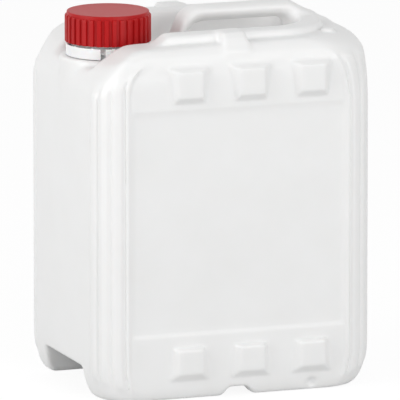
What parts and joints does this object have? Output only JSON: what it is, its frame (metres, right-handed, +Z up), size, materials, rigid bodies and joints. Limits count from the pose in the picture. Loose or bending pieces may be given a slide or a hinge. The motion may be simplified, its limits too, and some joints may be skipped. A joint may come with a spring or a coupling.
{
  "type": "plastic jerrycan",
  "caption": "Upright stackable plastic jerrycan with a hollow carrying handle, a side neck, moulded pads and a ribbed push-and-turn screw cap.",
  "frame": {"origin": "Middle of the footprint of the whole can on the ground it stands on.", "axes": "+Z up. X runs along the handle, with the neck at -X. Y runs through the two wide faces with pads."},
  "size_m": [0.2414, 0.196, 0.3105],
  "materials": {
    "natural_hdpe": "satin",
    "white_plastic": "smooth moulded",
    "red_plastic": "smooth moulded",
    "white_foam": "foam"
  },
  "bodies": {
    "container": {"container": "natural_hdpe"},
    "tamper_ring": {"tamper_ring": "white_plastic"},
    "seal": {"sealing_disc": "white_foam"},
    "inner_cap": {"inner_cap": "white_plastic"},
    "outer_cap": {"outer_cap": "red_plastic"}
  },
  "joints": [
    {"name": "ring_turn", "type": "hinge", "parent": "container", "child": "tamper_ring", "pos_m": [-0.0805, 0, 0.28], "axis": [0, 0, 1], "continuous": true},
    {"name": "cap_rise", "type": "slide", "parent": "container", "child": "seal", "axis": [0, 0, 1], "range_m": [0, 0.0239]},
    {"name": "cap_turn", "type": "hinge", "parent": "seal", "child": "inner_cap", "pos_m": [-0.0805, 0, 0.28], "axis": [0, 0, 1], "range_deg": [0, 1440]},
    {"name": "cap_press", "type": "slide", "parent": "inner_cap", "child": "outer_cap", "axis": [0, 0, -1], "range_m": [0, 0.0013], "stiffness_N_per_m": 10000}
  ],
  "couplings": [
    {"joint": "cap_turn", "follows": "cap_rise", "rad_per_m": 1047.2}
  ]
}
